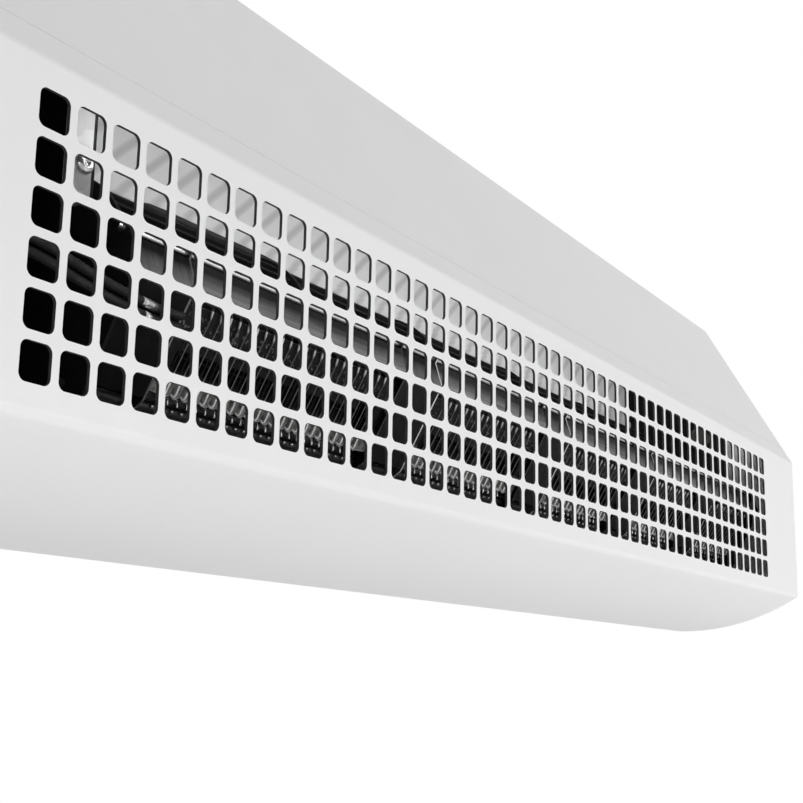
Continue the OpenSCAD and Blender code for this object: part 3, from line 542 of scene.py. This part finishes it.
WIRE_PITCH = 5.4
WIRE_END = 8.0
WIRE_R = 0.23
HOOK_R = 0.4
HOOK_S = 33.0
CREST_R = 0.45
CREST_S = 8.0
BOARD_S = (6.0, 41.0)
BOARD_W = (2.25, 3.75)
WINDOW_S = (19.0, 33.0)
WINDOW_END = 7.0
SLOT_TOP = 35.0
SLOT_AT = -0.24
SLOT_HALF = 0.7
# Room for the wire past the board's ends, the teeth's crests and valleys past the foot, and their raggedness
END_ROOM = 2.0
CREST_OUT = 0.2
VALLEY_OUT = -0.6
RAGGED = 0.35
WIRE_SIDES = 10
# Pins and dots below the foot: place as s and w in mm, then steps along them and radius in m
PIN_AT = (43.6, 3.4)
PIN_STEPS = (0.0022, 0.0012, 0.0, -0.0006)
PIN_R = 0.0004
DOT_AT = (46.4, 4.6)
DOT_STEPS = (-0.0004, 0.0, 0.0008)
DOT_R = 0.0006
PIN_SIDES = 8


def module_span(n):
    lo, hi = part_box(f"heater_board_{n}")
    return lo[0] * 1000, hi[0] * 1000


def turn_places(n):
    x0, x1 = module_span(n)
    count = math.floor((x1 - x0 + END_ROOM - 2 * WIRE_END) / WIRE_PITCH)
    first = (x0 + x1) / 2 - (count - 1) * WIRE_PITCH / 2
    return [first + k * WIRE_PITCH for k in range(count)]


def filled_cells(xs, ss, filled):
    """A plate between BOARD_W's two planes, made of the filled cells of a grid of lines xs and ss."""
    verts, faces, known = [], [], {}

    def corner(i, j, k):
        if (i, j, k) not in known:
            known[i, j, k] = len(verts)
            verts.append(heater_point(xs[i], ss(i, j), BOARD_W[k]))
        return known[i, j, k]

    for (i, j) in sorted(filled):
        a = [corner(i, j, 0), corner(i + 1, j, 0), corner(i + 1, j + 1, 0), corner(i, j + 1, 0)]
        b = [corner(i, j, 1), corner(i + 1, j, 1), corner(i + 1, j + 1, 1), corner(i, j + 1, 1)]
        faces.append(tuple(a))
        faces.append(tuple(reversed(b)))
        for e, step in enumerate(((0, -1), (1, 0), (0, 1), (-1, 0))):
            if (i + step[0], j + step[1]) not in filled:
                f = (e + 1) % 4
                faces.append((a[f], a[e], b[e], b[f]))
    return verts, faces


def make_board(n):
    """Mica board with a window behind the wires, and a slotted, toothed foot that they are hooked into."""
    x0, x1 = module_span(n)
    slots = [x + SLOT_AT * WIRE_PITCH for x in turn_places(n)]
    marks = {x0: "", x0 + WINDOW_END: "", x1 - WINDOW_END: "", x1: ""}
    for x in slots:
        marks[x - SLOT_HALF] = "slot"
        marks[x + SLOT_HALF] = ""
        marks[x + SLOT_HALF + (WIRE_PITCH - 2 * SLOT_HALF) / 2] = "crest"
    xs = sorted(x for x in marks if x0 <= x <= x1)
    levels = [BOARD_S[0], WINDOW_S[0], WINDOW_S[1], SLOT_TOP, BOARD_S[1]]
    random.seed(n)
    ragged = {i: random.uniform(-RAGGED, RAGGED) for i in range(len(xs))}
    foot = len(levels) - 1

    def level(i, j):
        if j < foot:
            return levels[j]
        return levels[foot] + (CREST_OUT if marks[xs[i]] == "crest" else VALLEY_OUT) + ragged[i]

    filled = set()
    for i in range(len(xs) - 1):
        middle = (xs[i] + xs[i + 1]) / 2
        filled.add((i, 0))
        filled.add((i, 2))
        if middle < x0 + WINDOW_END or middle > x1 - WINDOW_END:
            filled.add((i, 1))
        if not any(abs(middle - x) < SLOT_HALF for x in slots):
            filled.add((i, 3))
    verts, faces = filled_cells(xs, level, filled)
    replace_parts(piece(f"mica_board_{n}", verts, faces, "mica"), f"heater_board_{n}")


# One turn of a wire, as (share of the pitch, distance down from the board's foot or top edge, w)
DOWN_TURN = (
    (0.0, 9.0, 1.6), (0.0, 22.0, 1.7), (0.0, 32.0, 1.7), (0.0, 34.0, 1.6), (0.0, 38.2, 1.45),
    (-0.03, 39.2, 1.3), (-0.09, 39.9, 1.2), (-0.16, 40.2, 1.4), (-0.22, 39.9, 2.1), (-0.24, 39.5, 3.0),
    (-0.22, 39.0, 4.0), (-0.12, 37.5, 4.45), (0.12, 34.0, 4.45), (0.15, 9.0, 4.45), (0.2, 6.0, 4.4),
    (0.3, 4.6, 3.9), (0.5, 4.2, 2.9), (0.66, 4.3, 2.2), (0.74, 4.6, 1.7), (0.78, 5.2, 1.45), (0.89, 7.1, 1.5),
)
# Points of the crossing to the next turn, which the last turn doesn't have
CROSSING = 7


def wire_radius(s, w):
    """The wire is drawn thicker where it is hooked and where it comes over the top edge."""
    if s > HOOK_S and w < 4.0:
        return HOOK_R
    return CREST_R if s < CREST_S and w < 2.0 else WIRE_R


def make_wire(n):
    """Resistance wire wound over the board's top edge and hooked through the slots in its foot."""
    path, radii = [], []
    for x in turn_places(n):
        path += [heater_point(x + share * WIRE_PITCH, s, w) for share, s, w in DOWN_TURN]
        radii += [wire_radius(s, w) / 1000 for share, s, w in DOWN_TURN]
    end = -CROSSING
    verts, faces = [], []
    tube_mesh(path[:end], radii[:end], WIRE_SIDES, verts, faces)
    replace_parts(piece(f"wound_wire_{n}", verts, faces, "resistance_wire", smooth=True), f"heater_wire_{n}")


def make_hooks(n):
    """Small steel pins between the cradle's lip and the lower rod, and dots below them, one for each turn."""
    verts, faces = [], []
    for x in turn_places(n):
        for (s, w), ahead, steps, radius in ((PIN_AT, Vector(UP), PIN_STEPS, PIN_R),
                                             (DOT_AT, Vector(BEHIND_FACE), DOT_STEPS, DOT_R)):
            at = Vector(heater_point(x, s, w))
            tube_mesh([at + ahead * step for step in steps], radius, PIN_SIDES, verts, faces)
    piece(f"lip_pins_{n}", verts, faces, "bright_steel", smooth=True)


def make_heater():
    for n in range(1, MODULES + 1):
        make_board(n)
        make_wire(n)
        make_hooks(n)


# ---- Leads, trim and the screw, in section millimetres: x, depth from the front, height above the belly ----

LEAD_R = 1.6
LEAD_STEP = Vector((0.0, 1.2, -3.9))
LEAD = (
    (-393, 189.8, 106), (-393, 189.8, 120), (-392, 180, 128), (-390, 150, 124), (-388, 110, 108),
    (-383, 70, 97), (-373, 36, 90), (-357, 18, 84.5), (-340.4, 14, 82), (-321.5, 16, 79.8),
    (-302.7, 19, 78.8), (-283.4, 22.4, 78.6), (-272, 24.6, 79.4), (-262.6, 26.5, 80.4),
)
LEADS_PART = 0.15
LEAD_SIDES = 12
FERRULE_X = (-290.0, -281.0)
FERRULE_SHIFT = 2
FERRULE_R = 1.65
TRIM_R = 1.6
TRIM_X = (-185.0, -81.0)
TRIM_Z = 164.6
TRIM_SEAT = 0.05
TRIM_SIDES = 16
# The trim's tapered end, as the distance from the end and the share of the radius
TRIM_TAPER = ((0, 0.3), (1, 0.6), (4, 0.85), (14, 1.0))
HEM_FACE_Y = 122.4
SCREW_AT = (-297.2, 44.0, 128.7)
SCREW_SIDES = 24
# The head's profile, as radius and height
SCREW_HEAD = ((0.6, 1.1), (1.1, 1.1), (1.3, 1.9), (2.4, 1.8), (3.4, 1.3), (4.0, 0.5), (4.0, 0.0))


def section_point(x, y, z):
    return Vector((x, y - SECTION_ORIGIN[0], z - SECTION_ORIGIN[1])) / 1000


def smoothed(points, steps=6):
    """A Catmull-Rom curve through the points."""
    p = [Vector(q) for q in points]
    p = [2 * p[0] - p[1], *p, 2 * p[-1] - p[-2]]
    out = []
    for a, b, c, d in zip(p, p[1:], p[2:], p[3:]):
        for k in range(steps):
            t = k / steps
            out.append(0.5 * (2 * b + (c - a) * t + (2 * a - 5 * b + 4 * c - d) * t * t
                              + (3 * b - 3 * c + d - a) * t ** 3))
    out.append(p[-2])
    return out


def make_leads():
    for k, name in enumerate(("heater_lead_upper", "heater_lead_lower")):
        curve = smoothed([Vector(q) + k * LEAD_STEP * min(1, LEADS_PART * j) for j, q in enumerate(LEAD)])
        verts, faces = [], []
        tube_mesh([section_point(*q) for q in curve], LEAD_R / 1000, LEAD_SIDES, verts, faces)
        piece(name, verts, faces, "black_plastic", smooth=True)
        first, last = (x + FERRULE_SHIFT * k for x in FERRULE_X)
        held = [section_point(*q) for q in curve if first < q[0] < last]
        verts, faces = [], []
        tube_mesh(held, FERRULE_R / 1000, LEAD_SIDES, verts, faces)
        piece(name + "_ferrule", verts, faces, "bright_steel", smooth=True)


def make_trim():
    """Soft edge trim on the front of the upper guide's hem, with tapered ends."""
    x0, x1 = TRIM_X
    at = [x0 + d for d, share in TRIM_TAPER] + [x1 - d for d, share in reversed(TRIM_TAPER)]
    shares = [share for d, share in TRIM_TAPER]
    radii = [share * TRIM_R / 1000 for share in shares + shares[::-1]]
    way = [section_point(x, HEM_FACE_Y + TRIM_SEAT - r * 1000, TRIM_Z) for x, r in zip(at, radii)]
    verts, faces = [], []
    tube_mesh(way, radii, TRIM_SIDES, verts, faces)
    piece("guide_edge_trim", verts, faces, "rubber", smooth=True)


def make_angle_screw():
    """Domed head of the screw that holds the wall angle, with a driver recess."""
    sides = SCREW_SIDES
    verts, faces = [], []
    for r, h in SCREW_HEAD:
        for k in range(sides):
            turn = 2 * math.pi * k / sides
            verts.append(section_point(SCREW_AT[0] + r * math.cos(turn), SCREW_AT[1] - h,
                                       SCREW_AT[2] + r * math.sin(turn)))
    for j in range(len(SCREW_HEAD) - 1):
        for k in range(sides):
            a, b = j * sides + k, j * sides + (k + 1) % sides
            faces.append((a, b, b + sides, a + sides))
    faces.append(tuple(reversed(range(sides))))
    faces.append(tuple((len(SCREW_HEAD) - 1) * sides + k for k in range(sides)))
    piece("wall_angle_screw", verts, faces, "bright_steel", smooth=True)


# ---- Light, floor and background ----

FLOOR_Z = -2.1
FLOOR_HALF = 6.0
AMBIENT = 0.42
# Lamps, each as place, aim, size and watts
LAMPS = {
    "key": ((-4.8, -3.56, -1.39), (0.0, -0.2, -0.07), (1.6, 1.6), 80.0),
    "high_fill": ((1.7, -2.6, 0.1), (0.25, -0.2, -0.07), (0.5, 0.5), 16.0),
    "near_fill": ((0.9, -1.5, -0.75), (0.3, -0.2, -0.1), (1.0, 1.0), 3.0),
    "under": ((0.0, -0.9, -1.6), (0.0, -0.15, -0.1), (2.6, 1.4), 9.5),
    "inside": ((0.055, -0.185, -0.044), (0.055, -0.083, 0.02), (0.7, 0.01), 0.22),
}


def make_world():
    world = bpy.data.worlds.new("world")
    bpy.context.scene.world = world
    world.use_nodes = True
    tree = world.node_tree
    out = tree.nodes["World Output"]
    soft = tree.nodes["Background"]
    soft.inputs["Color"].default_value = (1, 1, 1, 1)
    soft.inputs["Strength"].default_value = AMBIENT
    shown = tree.nodes.new("ShaderNodeBackground")
    shown.inputs["Color"].default_value = (1, 1, 1, 1)
    shown.inputs["Strength"].default_value = 1.0
    path = tree.nodes.new("ShaderNodeLightPath")
    seen = tree.nodes.new("ShaderNodeMath")
    seen.operation = "MAXIMUM"
    clear = tree.nodes.new("ShaderNodeMath")
    clear.operation = "MAXIMUM"
    tree.links.new(path.outputs["Is Camera Ray"], seen.inputs[0])
    tree.links.new(path.outputs["Is Glossy Ray"], seen.inputs[1])
    tree.links.new(seen.outputs[0], clear.inputs[0])
    tree.links.new(path.outputs["Is Transmission Ray"], clear.inputs[1])
    mix = tree.nodes.new("ShaderNodeMixShader")
    tree.links.new(clear.outputs[0], mix.inputs[0])
    tree.links.new(soft.outputs[0], mix.inputs[1])
    tree.links.new(shown.outputs[0], mix.inputs[2])
    tree.links.new(mix.outputs[0], out.inputs["Surface"])


def area_lamp(name, at, to, size, power):
    data = bpy.data.lights.new(name, "AREA")
    data.shape = "RECTANGLE"
    data.size, data.size_y = size
    data.energy = power
    lamp = bpy.data.objects.new(name, data)
    bpy.context.scene.collection.objects.link(lamp)
    lamp.location = at
    lamp.rotation_euler = (Vector(to) - Vector(at)).to_track_quat("-Z", "Y").to_euler()


def make_floor():
    mesh = bpy.data.meshes.new("floor")
    corners = ((-1, -1), (1, -1), (1, 1), (-1, 1))
    mesh.from_pydata([(a * FLOOR_HALF, b * FLOOR_HALF, FLOOR_Z) for a, b in corners], [], [(0, 1, 2, 3)])
    floor = bpy.data.objects.new("floor", mesh)
    bpy.context.scene.collection.objects.link(floor)
    m = Nodes("floor", grey(0.85), 0.7)
    m.color_from(m.spread(m.noise(1.5), 0.0, 1.0), grey(0.84), grey(0.86))
    mesh.materials.append(m.mat)


make_camera()
make_world()
for name, (at, to, size, watts) in LAMPS.items():
    area_lamp(name, at, to, size, watts)
make_floor()
dress_nodes()
make_heater()
make_leads()
make_trim()
make_angle_screw()

scene = bpy.context.scene
scene.view_settings.view_transform = "Standard"
